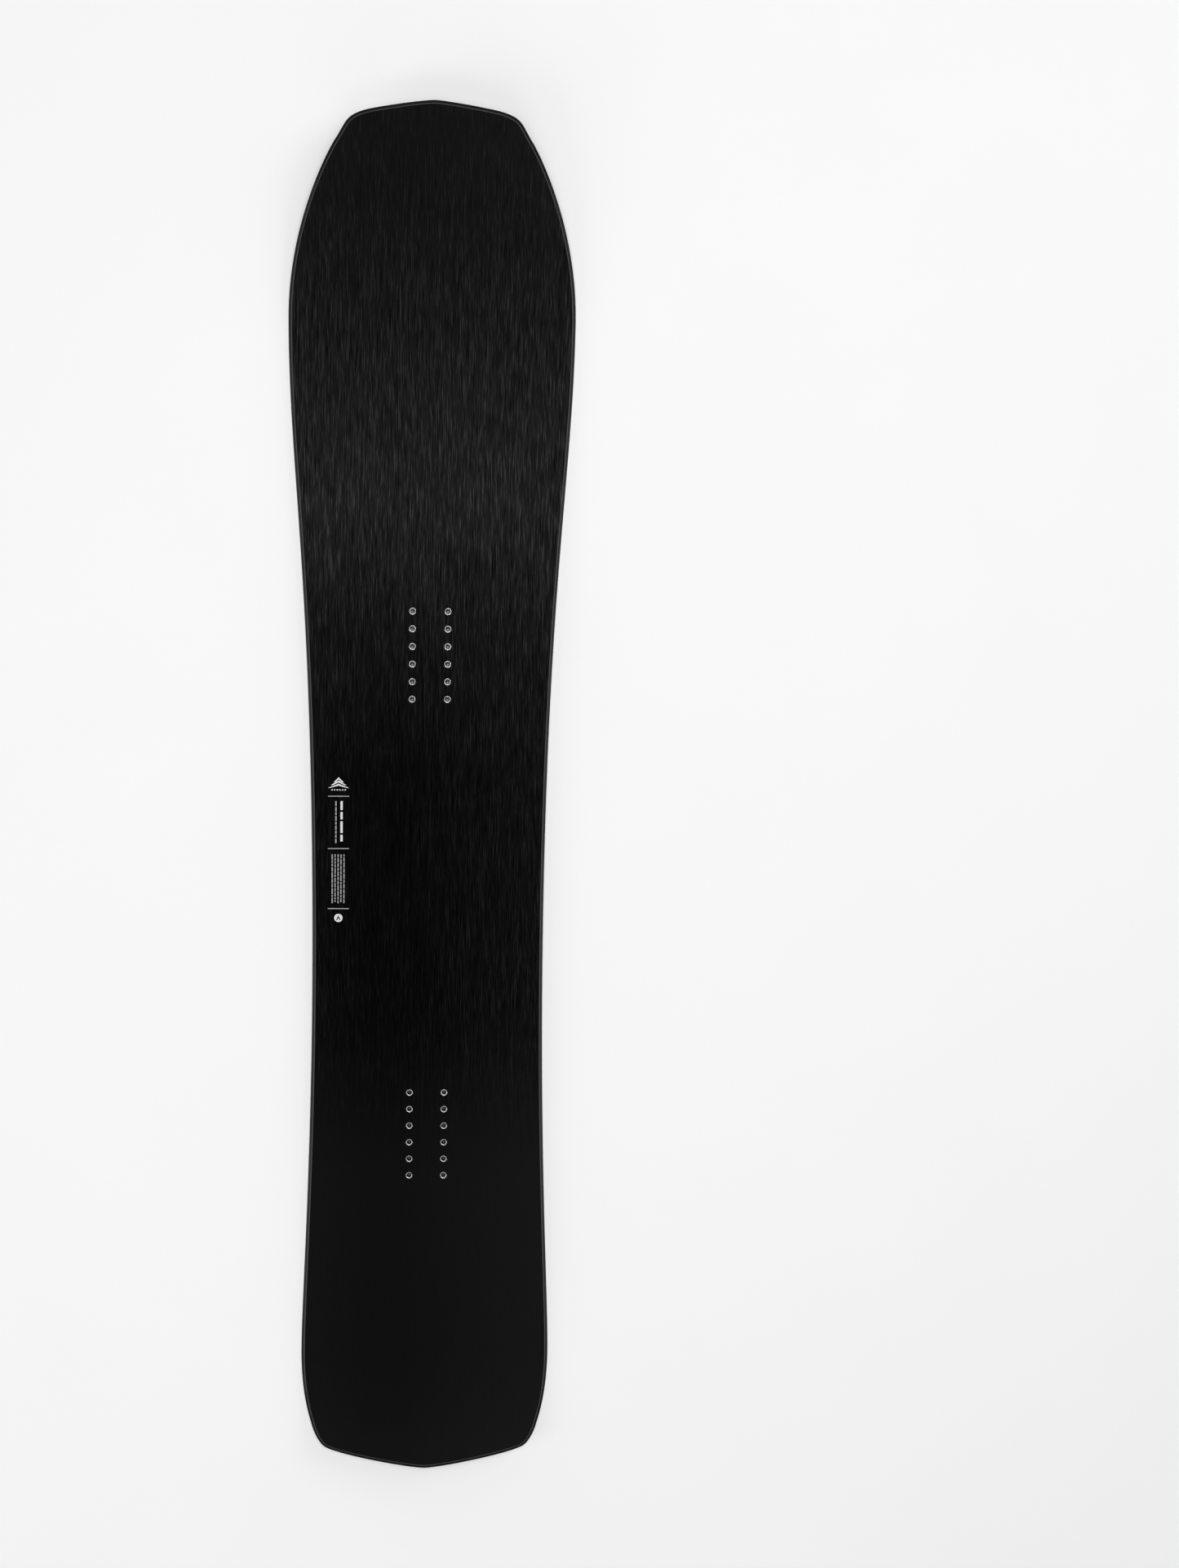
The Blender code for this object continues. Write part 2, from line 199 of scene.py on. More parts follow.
def spread_stations():
    """Stations along the right side of the outline, closer together where it turns."""
    step = np.linalg.norm(np.diff(CURVE, axis=0), axis=1)
    turn = np.arccos(np.clip((NORMALS[1:] * NORMALS[:-1]).sum(axis=1), -1.0, 1.0))
    along = np.concatenate([[0.0], np.cumsum(step + TURN_WEIGHT * turn)])
    at = np.linspace(0.0, along[-1], PERIMETER_STATIONS)
    places = np.column_stack([np.interp(at, along, CURVE[:, k]) for k in range(2)])
    normals = np.column_stack([np.interp(at, along, NORMALS[:, k]) for k in range(2)])
    return places, normals / np.linalg.norm(normals, axis=1)[:, None]


PLACES, OUTWARD = spread_stations()


def half_width(y, inset):
    """Half the board's width at y, to a line that runs inset within the outline."""
    inner = CURVE - inset * NORMALS
    return float(np.interp(-y, -inner[:, 1], inner[:, 0]))


def underside(y):
    """Height of the base's underside."""
    if y > NOSE_CONTACT:
        return NOSE_RISE * ((y - NOSE_CONTACT) / (HALF_LENGTH - NOSE_CONTACT)) ** NOSE_POWER
    if y < TAIL_CONTACT:
        return TAIL_RISE * ((TAIL_CONTACT - y) / (HALF_LENGTH + TAIL_CONTACT)) ** TAIL_POWER
    middle = (NOSE_CONTACT + TAIL_CONTACT) / 2
    return CAMBER / 2 * (1 + math.cos(2 * math.pi * (y - middle) / (NOSE_CONTACT - TAIL_CONTACT)))


def core_thickness(y):
    if y > CORE_FULL_FRONT:
        part = (y - CORE_FULL_FRONT) / (HALF_LENGTH - CORE_FULL_FRONT)
    else:
        part = max(0.0, (CORE_FULL_REAR - y) / (HALF_LENGTH + CORE_FULL_REAR))
    return CORE_THICKNESS - (CORE_THICKNESS - CORE_TIP_THICKNESS) * part * part * (3 - 2 * part)


def fixed(height):
    """A surface that keeps its distance from the base's underside."""
    return lambda y: underside(y) + height


def over_core(height):
    """A surface that lies on the core, so it follows the core's thickness too."""
    return lambda y: underside(y) + core_thickness(y) + height


# ---------------------------------------------------------------------------------------------------
# Mesh building
# ---------------------------------------------------------------------------------------------------


def new_object(name, data):
    made = bpy.data.objects.new(name, data)
    bpy.context.scene.collection.objects.link(made)
    return made


def give_material(mesh, material):
    mesh.materials.clear()
    mesh.materials.append(material)


def add_piece(name, mesh, material, stands_for=(), matrix=None):
    """Adds a mesh as a piece of the board and ties it to the CAD's one body."""
    give_material(mesh, material)
    piece = new_object(name, mesh)
    if matrix is not None:
        piece.matrix_world = matrix
    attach(piece, "root")
    if stands_for:
        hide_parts(*stands_for)
    return piece


def shade(mesh):
    """Smooth shading, sharp only at the mesh's real corners."""
    mesh.shade_smooth()
    mesh.set_sharp_from_angle(angle=math.radians(SHARP_DEGREES))


def finished_mesh(bm, name):
    """Turns a bmesh into a clean, shaded mesh, and frees it."""
    bmesh.ops.remove_doubles(bm, verts=bm.verts, dist=1e-7)
    bmesh.ops.recalc_face_normals(bm, faces=bm.faces)
    mesh = bpy.data.meshes.new(name)
    bm.to_mesh(mesh)
    bm.free()
    shade(mesh)
    return mesh


def skin(bm, loops, first_cap=True, last_cap=True):
    """Joins closed loops of as many points with bands of faces, and caps the ends asked for."""
    for near, far in zip(loops[:-1], loops[1:]):
        for k in range(len(near)):
            m = (k + 1) % len(near)
            bm.faces.new((near[k], near[m], far[m], far[k]))
    if first_cap:
        bm.faces.new(loops[0])
    if last_cap:
        bm.faces.new(loops[-1])


def loft(bm, sections, **caps):
    """Skins closed sections, given as points in millimetres."""
    skin(bm, [[bm.verts.new(Vector(p) * MM) for p in section] for section in sections], **caps)


def plate_section(right):
    """A section across the board: right-hand rim points from bottom to top, mirrored, with columns."""
    section = list(right)
    x, y, z = right[-1]
    section += [(x * (1 - 2 * k / COLUMNS), y, z) for k in range(1, COLUMNS)]
    section += [(-x, y, z) for x, y, z in reversed(right)]
    x, y, z = right[0]
    section += [(-x * (1 - 2 * k / COLUMNS), y, z) for k in range(1, COLUMNS)]
    return section


def rim_points(station, rims):
    """The points of one station's rim: (inset, height function) pairs, from bottom to top."""
    points = []
    for inset, height in rims:
        x, y = PLACES[station] - inset * OUTWARD[station]
        points.append((max(x, 0.0), y, height(y)))
    return points


def plate(name, rims):
    """A sheet over the whole plan. The two sides meet in one point at nose and tail."""
    bm = bmesh.new()
    sections = [plate_section(rim_points(k, rims)) for k in range(PERIMETER_STATIONS)]
    loft(bm, sections, first_cap=False, last_cap=False)
    return finished_mesh(bm, name)


def swept_half(name, sign, profile):
    """A bar that follows one side of the outline from the nose to the tail."""
    bm = bmesh.new()
    sections = []
    for k in range(PERIMETER_STATIONS):
        points = rim_points(k, [(inset, fixed(height)) for inset, height in profile])
        sections.append([(sign * max(x, SEAM), y, z) for x, y, z in points])
    loft(bm, sections)
    return finished_mesh(bm, name)


def side_bar(name, sign, profile):
    """A bar along one side between the two ends of the core, cut square at both."""
    bm = bmesh.new()
    lines = np.linspace(CORE_END, -CORE_END, int(2 * CORE_END / SIDE_STEP) + 1)
    loft(bm, [[(sign * half_width(y, d), y, h(y)) for d, h in profile] for y in lines])
    return finished_mesh(bm, name)


def tip_plate(name, sign, rims):
    """A plate that fills the nose (+1) or the tail (-1) beyond the end of the core."""
    bm = bmesh.new()
    start = sign * (CORE_END + 2 * SEAM)
    beyond = [k for k in range(PERIMETER_STATIONS) if sign * PLACES[k][1] > CORE_END + SIDE_STEP]
    if sign < 0:
        beyond = beyond[::-1]
    sections = [plate_section(rim_points(k, rims)) for k in beyond]
    cut = [(half_width(start, inset), start, height(start)) for inset, height in rims]
    sections.append(plate_section(cut))
    loft(bm, sections, first_cap=False)
    return finished_mesh(bm, name)


def ring_of(bm, radius, z):
    """A ring of points in millimetres. The radius may be a function of the angle."""
    ring = []
    for k in range(INSERT_SIDES):
        a = 2 * math.pi * k / INSERT_SIDES
        r = radius(a) if callable(radius) else radius
        ring.append(bm.verts.new(Vector((r * math.cos(a), r * math.sin(a), z)) * MM))
    return ring


# ---------------------------------------------------------------------------------------------------
# Material building
# ---------------------------------------------------------------------------------------------------

# The topsheet's tone along the board, from tail (0) to nose (1), with painted sheen in its lighter bands, and
# the painted sheen that its sides add to that
TOPSHEET_TONES_AND_SHEEN = (
    (0.00, (0.0068, 0.0068, 0.0069)),
    (0.22, (0.0066, 0.0066, 0.0067)),
    (0.34, (0.0026, 0.0026, 0.0026)),
    (0.53, (0.0026, 0.0026, 0.0026)),
    (0.63, (0.0085, 0.0086, 0.0088)),
    (0.72, (0.0192, 0.0195, 0.0202)),
    (0.84, (0.0116, 0.0117, 0.0120)),
    (0.93, (0.0085, 0.0085, 0.0087)),
)
# Painted sheen: the deck's edges are lighter, the right one most, as if lit from that side.
TOPSHEET_SIDE_SHEEN = ((0.00, 0.0045), (0.55, 0.0046), (0.70, 0.0008), (1.00, 0.0028))
SIDE_SHEEN_SHARES = ((0.05, 0.40), (0.25, 0.0), (0.40, 0.0), (1.0, 1.0))  # of that, from left (0) to right (1)
DECK_HALF_WIDTH = 140.0  # where those two ends are
# The streaks are the film's grain. How far they lighten it, and how strongly they show along the board, is
# painted sheen.
STREAK_TONES = ((0.34, 0.05), (0.46, 0.70), (0.54, 1.0), (0.66, 3.2))
STREAK_SHEEN_AMOUNTS = ((0.25, 0.06), (0.36, 1.0), (0.85, 1.0), (0.97, 0.4))  # along the board, as above

# Painted shade on each insert: its colour darkens down the bore, and over the outer part of its face and its
# lip.
BORE_SHADE_Z = 2.0  # an insert's bore is at its darkest from here down
LIP_SHADE_RADII = (3.5, 3.8)  # painted shade: the insert's face darkens outward between these radii, and its outer lip stays dark


class Paint:
    """A material under construction: short calls for the nodes that the finishes below share.

    The scale of a noise or a wave multiplies the coordinates across, along and up, so a larger number
    is finer. A ramp's stops are (position, colour or grey).
    """

    def __init__(self, name, roughness=0.5, metallic=0.0, specular=0.5, **sockets):
        self.material = bpy.data.materials.new(name)
        self.material.use_nodes = True
        self.tree = self.material.node_tree
        self.shader = self.tree.nodes["Principled BSDF"]
        values = {"Roughness": roughness, "Metallic": metallic, "Specular IOR Level": specular, **sockets}
        for socket, value in values.items():
            self.shader.inputs[socket].default_value = value
        self.place = self.tree.nodes.new("ShaderNodeTexCoord").outputs["Object"]

    def link(self, source, target):
        self.tree.links.new(source, target)

    def stretched(self, scale):
        """Object coordinates, in metres, multiplied by scale."""
        node = self.tree.nodes.new("ShaderNodeMapping")
        node.inputs["Scale"].default_value = scale
        self.link(self.place, node.inputs["Vector"])
        return node.outputs["Vector"]

    def noise(self, scale, detail=2.0, roughness=0.5):
        node = self.tree.nodes.new("ShaderNodeTexNoise")
        node.inputs["Scale"].default_value = 1.0
        node.inputs["Detail"].default_value = detail
        node.inputs["Roughness"].default_value = roughness
        self.link(self.stretched(scale), node.inputs["Vector"])
        return node.outputs["Fac"]

    def wave(self, scale, distortion, detail=2.0, bands="X"):
        node = self.tree.nodes.new("ShaderNodeTexWave")
        node.bands_direction = bands
        node.inputs["Scale"].default_value = 1.0
        node.inputs["Distortion"].default_value = distortion
        node.inputs["Detail"].default_value = detail
        self.link(self.stretched(scale), node.inputs["Vector"])
        return node.outputs["Fac"]

    def axis(self, name):
        node = self.tree.nodes.new("ShaderNodeSeparateXYZ")
        self.link(self.place, node.inputs[0])
        return node.outputs[name]

    def ramp(self, factor, *stops):
        node = self.tree.nodes.new("ShaderNodeValToRGB")
        elements = node.color_ramp.elements
        while len(elements) < len(stops):
            elements.new(0.5)
        for element, (position, value) in zip(elements, stops):
            element.position = position
            colour = value if isinstance(value, tuple) else (value, value, value)
            element.color = (*colour, 1.0)
        self.link(factor, node.inputs["Fac"])
        return node.outputs["Color"]

    def spread(self, value, low, high):
        """Maps a coordinate between two places, in metres, to 0 and 1."""
        node = self.tree.nodes.new("ShaderNodeMapRange")
        node.inputs["From Min"].default_value = low
        node.inputs["From Max"].default_value = high
        self.link(value, node.inputs["Value"])
        return node.outputs["Result"]

    def maths(self, operation, first, second):
        node = self.tree.nodes.new("ShaderNodeMath")
        node.operation = operation
        for socket, value in zip(node.inputs, (first, second)):
            if isinstance(value, (int, float)):
                socket.default_value = value
            else:
                self.link(value, socket)
        return node.outputs[0]

    def weighted(self, share, first, second):
        """The first factor by its share, and the second by what is left."""
        parts = self.maths("MULTIPLY", first, share), self.maths("MULTIPLY", second, 1.0 - share)
        return self.maths("ADD", *parts)

    def blend(self, mode, factor, first, second):
        node = self.tree.nodes.new("ShaderNodeMix")
        node.data_type = "RGBA"
        node.blend_type = mode
        for socket, value in zip((node.inputs[0], node.inputs[6], node.inputs[7]), (factor, first, second)):
            if isinstance(value, (int, float)):
                socket.default_value = value
            elif isinstance(value, tuple):
                socket.default_value = (*value, 1.0)
            else:
                self.link(value, socket)
        return node.outputs[2]

    def colour(self, source):
        self.link(source, self.shader.inputs["Base Color"])

    def rough(self, factor, low, high):
        node = self.tree.nodes.new("ShaderNodeMapRange")
        node.inputs["To Min"].default_value = low
        node.inputs["To Max"].default_value = high
        self.link(factor, node.inputs["Value"])
        self.link(node.outputs["Result"], self.shader.inputs["Roughness"])

    def bump(self, height, depth_mm, strength):
        node = self.tree.nodes.new("ShaderNodeBump")
        node.inputs["Strength"].default_value = strength
        node.inputs["Distance"].default_value = depth_mm * MM
        self.link(height, node.inputs["Height"])
        self.link(node.outputs["Normal"], self.shader.inputs["Normal"])


def topsheet_paint():
    """Near-black satin film with short lengthwise grain streaks, and painted sheen in its colour: lighter
    bands along the board, lighter edges, and streaks that show most where that sheen falls, strongest towards
    the nose.
    """
    paint = Paint("topsheet_satin", specular=0.012)
    along = paint.spread(paint.axis("Y"), -HALF_LENGTH * MM, HALF_LENGTH * MM)
    across = paint.spread(paint.axis("X"), -DECK_HALF_WIDTH * MM, DECK_HALF_WIDTH * MM)
    # Painted sheen: lighter towards the edges, most on the right.
    side = paint.ramp(across, *SIDE_SHEEN_SHARES)
    painted_side_sheen = paint.blend("MULTIPLY", 1.0, paint.ramp(along, *TOPSHEET_SIDE_SHEEN), side)
    # Painted sheen: the tone along the board lightens where light would shine off the satin film.
    tone = paint.blend("ADD", 1.0, paint.ramp(along, *TOPSHEET_TONES_AND_SHEEN), painted_side_sheen)
    fine = paint.noise((1600.0, 55.0, 40.0), detail=1.0)
    long = paint.noise((760.0, 24.0, 20.0), roughness=0.6)
    both = paint.weighted(0.55, fine, long)
    # Painted sheen: the grain streaks show and lighten most where light would shine off the film.
    streak_sheen = paint.ramp(along, *STREAK_SHEEN_AMOUNTS)
    paint.colour(paint.blend("MULTIPLY", streak_sheen, tone, paint.ramp(both, *STREAK_TONES)))
    paint.rough(both, 0.50, 0.36)
    paint.bump(both, 0.02, 0.5)
    return paint.material


def moulded_paint(name, grey):
    """Black plastic, trimmed and sanded lengthwise, with a fine speckle."""
    paint = Paint(name, specular=0.06)
    sanding = paint.noise((260.0, 60.0, 1800.0), detail=3.0)
    speckle = paint.noise((1500.0, 1500.0, 1500.0))
    mixed = paint.weighted(0.6, sanding, speckle)
    paint.colour(paint.ramp(mixed, (0.32, grey * 0.6), (0.55, grey), (0.72, grey * 1.6)))
    paint.rough(mixed, 0.45, 0.68)
    paint.bump(mixed, 0.03, 0.4)
    return paint.material


def laminate_paint(name, dark, light):
    """Glass cloth in resin: two sets of yarns that cross, and small dry spots."""
    paint = Paint(name, specular=0.4)
    warp = paint.wave((330.0, 8.0, 8.0), distortion=1.0)
    weft = paint.wave((8.0, 330.0, 8.0), distortion=1.0, bands="Y")
    yarns = paint.maths("MAXIMUM", warp, weft)
    cloud = paint.noise((500.0, 120.0, 500.0), detail=3.0)
    mixed = paint.weighted(0.4, yarns, cloud)
    paint.colour(paint.ramp(mixed, (0.25, dark), (0.80, light)))
    paint.rough(mixed, 0.35, 0.55)
    paint.bump(yarns, 0.03, 0.3)
    return paint.material


def steel_paint():
    """Edge steel, ground lengthwise, with fine scratches and duller patches."""
    paint = Paint("edge_steel_ground", metallic=1.0, Anisotropic=0.5)
    grinding = paint.noise((2600.0, 30.0, 2600.0), detail=3.0, roughness=0.65)
    patches = paint.noise((60.0, 14.0, 60.0), detail=3.0)
    tone = paint.ramp(grinding, (0.3, (0.30, 0.30, 0.31)), (0.7, (0.56, 0.56, 0.57)))
    paint.colour(paint.blend("MULTIPLY", 0.5, tone, paint.ramp(patches, (0.35, 0.62), (0.65, 1.0))))
    paint.rough(grinding, 0.26, 0.46)
    paint.bump(grinding, 0.01, 0.4)
    return paint.material


def base_paint():
    """Black sintered base: stone-ground structure along the board, with a waxed gloss."""
    paint = Paint("base_stone_ground", specular=0.5)
    structure = paint.noise((3000.0, 26.0, 300.0))
    crossing = paint.noise((1400.0, 420.0, 300.0))
    cloud = paint.noise((16.0, 5.0, 16.0), detail=3.0)
    ground = paint.weighted(0.3, crossing, structure)
    paint.colour(paint.ramp(cloud, (0.35, (0.006, 0.006, 0.007)), (0.65, (0.011, 0.011, 0.012))))
    paint.rough(ground, 0.20, 0.36)
    paint.bump(ground, 0.012, 0.4)
    return paint.material


def insert_paint():
    """Turned stainless steel: marks that follow the turning, with painted shade that darkens the bore
    downwards and the outer part of the face and lip.
    """
    paint = Paint("insert_stainless", metallic=1.0)
    x, y = paint.axis("X"), paint.axis("Y")
    square = paint.maths("ADD", paint.maths("MULTIPLY", x, x), paint.maths("MULTIPLY", y, y))
    radius = paint.maths("SQRT", square, 0.0)
    turning = paint.tree.nodes.new("ShaderNodeTexNoise")
    turning.noise_dimensions = "1D"
    turning.inputs["Scale"].default_value = 9000.0
    paint.link(radius, turning.inputs["W"])
    # Painted shade: the colour darkens down the bore.
    depth = paint.spread(paint.axis("Z"), BORE_SHADE_Z * MM, INSERT_HEIGHT * MM)
    shade = paint.ramp(depth, (0.0, 0.05), (0.72, 0.14), (0.95, (0.76, 0.75, 0.73)))
    marks = paint.ramp(turning.outputs["Fac"], (0.3, 0.72), (0.7, 1.0))
    # Painted shade: the face darkens from its mouth outward and the outer lip stays dark, a dark ring round
    # the bright mouth.
    lip_shade_share = paint.spread(radius, LIP_SHADE_RADII[0] * MM, LIP_SHADE_RADII[1] * MM)
    resin = paint.ramp(lip_shade_share, (0.0, 1.0), (1.0, 0.06))
    paint.colour(paint.blend("MULTIPLY", 1.0, paint.blend("MULTIPLY", 0.8, shade, marks), resin))
    paint.rough(turning.outputs["Fac"], 0.20, 0.34)
    paint.bump(turning.outputs["Fac"], 0.01, 0.3)
    return paint.material


def wood_paint(name, dark, light):
    """Quarter-sawn core strip: grain along the board, pores and slow bands."""
    paint = Paint(name, specular=0.25)
    bands = paint.wave((34.0, 1.6, 34.0), distortion=5.0, detail=3.0)
    pores = paint.noise((1700.0, 42.0, 1700.0))
    mixed = paint.weighted(0.55, bands, pores)
    paint.colour(paint.ramp(mixed, (0.2, dark), (0.8, light)))
    paint.rough(mixed, 0.72, 0.55)
    paint.bump(mixed, 0.05, 0.4)
    return paint.material


def rubber_paint():
    """Calendered rubber foil: matt black with a fine pebble."""
    paint = Paint("edge_rubber_foil", specular=0.2)
    pebble = paint.noise((2200.0, 2200.0, 2200.0))
    paint.colour(paint.ramp(pebble, (0.3, 0.010), (0.7, 0.024)))
    paint.rough(pebble, 0.78, 0.92)
    paint.bump(pebble, 0.03, 0.5)
    return paint.material


def ink_paint(name, dark, light):
    """Screen-printed ink, slightly uneven in cover."""
    paint = Paint(name, specular=0.3)
    cover = paint.noise((900.0, 500.0, 900.0), detail=3.0)
    paint.colour(paint.ramp(cover, (0.15, dark), (0.45, light)))
    paint.rough(cover, 0.55, 0.40)
    paint.bump(cover, 0.004, 0.4)
    return paint.material


def floor_paint():
    """Pale paper that glows a little, as a lit light table does, so that shadows stay faint."""
    paint = Paint("pale_floor", roughness=0.9, specular=0.0)
    fibre = paint.noise((7.0, 7.0, 7.0), detail=3.0)
    paint.colour(paint.ramp(fibre, (0.3, 0.895), (0.7, 0.905)))
    paint.shader.inputs["Emission Color"].default_value = (1.0, 1.0, 1.0, 1.0)
    paint.shader.inputs["Emission Strength"].default_value = FLOOR_GLOW
    return paint.material


# ---------------------------------------------------------------------------------------------------
# The pieces that show
# ---------------------------------------------------------------------------------------------------


def insert_places():
    """(CAD node, matrix) for each insert: its place from the CAD, its axis square to the board."""
    for node in sorted(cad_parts):
        if not node.startswith("insert_"):
            continue
        low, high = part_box(node)
        x, y = (low.x + high.x) / 2 / MM, (low.y + high.y) / 2 / MM
        tilt = math.atan((underside(y + SLOPE_STEP) - underside(y - SLOPE_STEP)) / (2 * SLOPE_STEP))
        where = Matrix.Translation(Vector((x, y, underside(y) + CORE_Z)) * MM)
        yield node, where @ Matrix.Rotation(tilt, 4, "X")


def punch_holes(piece):
    """Cuts the inserts' holes, with a slightly eased mouth, through a thin sheet."""
    eased = INSERT_HEIGHT + DECK_DROP - HOLE_EASE_DEPTH
    mouth = HOLE_RADIUS + HOLE_EASE
    bottom, top = PUNCH_REACH
    bm = bmesh.new()
    profile = ((HOLE_RADIUS, bottom), (HOLE_RADIUS, eased), (mouth, eased + HOLE_EASE), (mouth, top))
    skin(bm, [ring_of(bm, r, z) for r, z in profile])
    one = finished_mesh(bm, "punch")
    bm = bmesh.new()
    for _, matrix in insert_places():
        copy = one.copy()
        copy.transform(matrix)
        bm.from_mesh(copy)
        bpy.data.meshes.remove(copy)
    punches = new_object("punches", finished_mesh(bm, "punches"))
    cut = piece.modifiers.new("holes", "BOOLEAN")
    cut.operation = "DIFFERENCE"
    cut.solver = "EXACT"
    cut.object = punches
    bpy.context.view_layer.update()
    evaluated = piece.evaluated_get(bpy.context.evaluated_depsgraph_get())
    cut_mesh = bpy.data.meshes.new_from_object(evaluated)
    piece.modifiers.clear()
    piece.data = cut_mesh
    bpy.data.objects.remove(punches)
    shade(cut_mesh)


def make_topsheet():
    cut = TOPSHEET_RIM + TOPSHEET_SLANT
    rims = [
        (TOPSHEET_RIM, over_core(LAMINATE_TOP_Z + SEAM)),
        (cut, over_core(DECK_Z - EASE)),
        (cut + EASE * CORNER, over_core(DECK_Z - EASE * CORNER)),
        (cut + EASE, over_core(DECK_Z)),
        (TOPSHEET_RIM + FLAT_ROW, over_core(DECK_Z)),
    ]
    mesh = plate("topsheet_film", rims)
    punch_holes(add_piece(mesh.name, mesh, topsheet_paint(), ["topsheet"]))


def make_upper_laminate():
    """Its cut edge is bevelled with the sidewall, so it shows as a thin line round the topsheet."""
    rims = [
        (BEVEL + SEAM, over_core(CORE_Z + SEAM)),
        (BEVEL + LAMINATE_LEAN, over_core(CORE_Z + LAMINATE_FACE)),
        (TOPSHEET_RIM - EASE, over_core(LAMINATE_TOP_Z - LAMINATE_CORNER_DROP)),
        (TOPSHEET_RIM, over_core(LAMINATE_TOP_Z)),
        (TOPSHEET_RIM + FLAT_ROW, over_core(LAMINATE_TOP_Z)),
    ]
    paint = laminate_paint("upper_laminate_cloth", 0.024, 0.072)
    mesh = plate("upper_laminate_cloth", rims)
    punch_holes(add_piece(mesh.name, mesh, paint, ["upper_laminate"]))


def bevel_rims(foot_z, bend_share, foot_height):
    """The bevelled face of a sidewall or spacer, from its foot up to its top."""

    def bend(y):
        return underside(y) + foot_z + bend_share * (core_thickness(y) + CORE_Z - foot_z)

    return [
        (SIDEWALL_FOOT, fixed(foot_z)),
        (SIDEWALL_FOOT + FOOT_LEAN, fixed(foot_z + foot_height)),
        (BEVEL_BEND, bend),
        (BEVEL - BEVEL_LIP, over_core(CORE_Z - BEVEL_LIP_DROP)),
        (BEVEL, over_core(CORE_Z - BEVEL_TOP_DROP)),
        (BEVEL + EASE, over_core(CORE_Z)),
    ]


def make_sidewalls(paint):
    foot, *face = bevel_rims(SIDEWALL_Z, SIDEWALL_BEND_SHARE, SIDEWALL_FOOT_HEIGHT)
    inner = SIDEWALL_WIDTH - SEAM
    profile = [foot, (inner, fixed(SIDEWALL_Z)), (inner, over_core(CORE_Z)), *reversed(face)]
    for sign, word in ((-1, "left"), (1, "right")):
        mesh = side_bar(f"sidewall_{word}_bevelled", sign, profile)
        add_piece(mesh.name, mesh, paint, [f"sidewall_{word}"])


def make_spacers(paint):
    rims = bevel_rims(CORE_Z, SPACER_BEND_SHARE, SPACER_FOOT_HEIGHT)
    for sign, word in ((1, "nose"), (-1, "tail")):
        mesh = tip_plate(f"{word}_spacer_bevelled", sign, rims)
        add_piece(mesh.name, mesh, paint, [f"{word}_spacer"])


def make_steel_edges(paint):
    """An L section with its two outer corners eased, as a tuned edge is."""
    for sign, word in ((-1, "left"), (1, "right")):
        mesh = swept_half(f"steel_edge_{word}_ground", sign, STEEL_PROFILE)
        add_piece(mesh.name, mesh, paint, [f"steel_edge_{word}"])


def make_base():
    rim = EDGE_WIDTH + SEAM
    rims = [
        (rim + FLAT_ROW, fixed(0.0)),
        (rim + BASE_EASE, fixed(0.0)),
        (rim, fixed(BASE_EASE)),
        (rim, fixed(BASE_THICKNESS)),
        (rim + FLAT_ROW, fixed(BASE_THICKNESS)),
    ]
    mesh = plate("base_sheet_ground", rims)
    add_piece(mesh.name, mesh, base_paint(), ["base_sheet"])


def thread_radius(z):
    """Radius round the bore at height z: a helical V thread that runs out at both ends."""
    over, under = z - THREAD_BOTTOM - THREAD_START, THREAD_TOP - z
    fade = max(0.0, min(1.0, over / THREAD_RUN_OUT, under / THREAD_RUN_OUT))

    def radius(a):
        phase = (z / THREAD_PITCH - a / (2 * math.pi)) % 1.0
        return THREAD_MINOR + THREAD_DEPTH * fade * (1 - abs(2 * phase - 1))

    return radius


def insert_mesh():
    """A flanged barrel with a chamfered mouth and a threaded blind bore."""
    bm = bmesh.new()
    rings = [ring_of(bm, r, z) for r, z in INSERT_FLANGE]
    rings += [ring_of(bm, r, INSERT_HEIGHT - drop) for r, drop in INSERT_LIP + INSERT_MOUTH]
    rows = int((THREAD_TOP - THREAD_BOTTOM) / THREAD_PITCH * THREAD_ROWS_PER_PITCH)
    rings += [ring_of(bm, thread_radius(z), z) for z in np.linspace(THREAD_TOP, THREAD_BOTTOM, rows + 1)]
    rings.append(ring_of(bm, *BORE_FLOOR))
    skin(bm, rings)
    return finished_mesh(bm, "threaded_insert")


def make_inserts():
    mesh, paint = insert_mesh(), insert_paint()
    for node, matrix in insert_places():
        add_piece(f"{node}_threaded", mesh, paint, [node], matrix)


# ---------------------------------------------------------------------------------------------------
# Printed marks: plain rules, broken bars in place of words, a peak and a dot
# ---------------------------------------------------------------------------------------------------
PRINT_SEED = 7
PRINT_X = -102.7
PRINT_HALF = 12.0
INK_LOW = over_core(DECK_Z + 0.004)
INK_HIGH = over_core(DECK_Z + 0.024)
SECOND_INK_LOW = over_core(DECK_Z + 0.026)
SECOND_INK_HIGH = over_core(DECK_Z + 0.034)
INK_STEP = 6.0
PEAK_CHEVRONS = 3
PEAK_Y = 23.3
PEAK_STEP = 3.2
PEAK_NARROWING = 3.1
PEAK_RISE = 2.6
PEAK_STEEPENING = 0.5
PEAK_THICKNESS = 2.2
PEAK_FOOT = 2.4
TICKS = 6
TICKS_Y = (20.4, 21.8)
TICKS_REACH = 7.5
TICK_HALF = 0.75
RULES_Y = (13.7, -46.8, -116.7)
RULE_WIDTH = 1.0
BOLD_LINE = (-99.3, 2.6, 8.0, -41.2, (7.0, 17.0), 2.2)  # x, width, start, end, bar lengths, space
THIN_LINE = (-105.7, 1.5, 8.0, -41.2, (3.0, 8.0), 1.1)
SMALL_LINES_X = (-109.8, -106.5, -103.1, -99.8, -96.4)
SMALL_LINE = (1.3, -53.5, -110.4, (2.0, 7.0), 1.0)  # the same, without the x
DOT_Y = -127.6
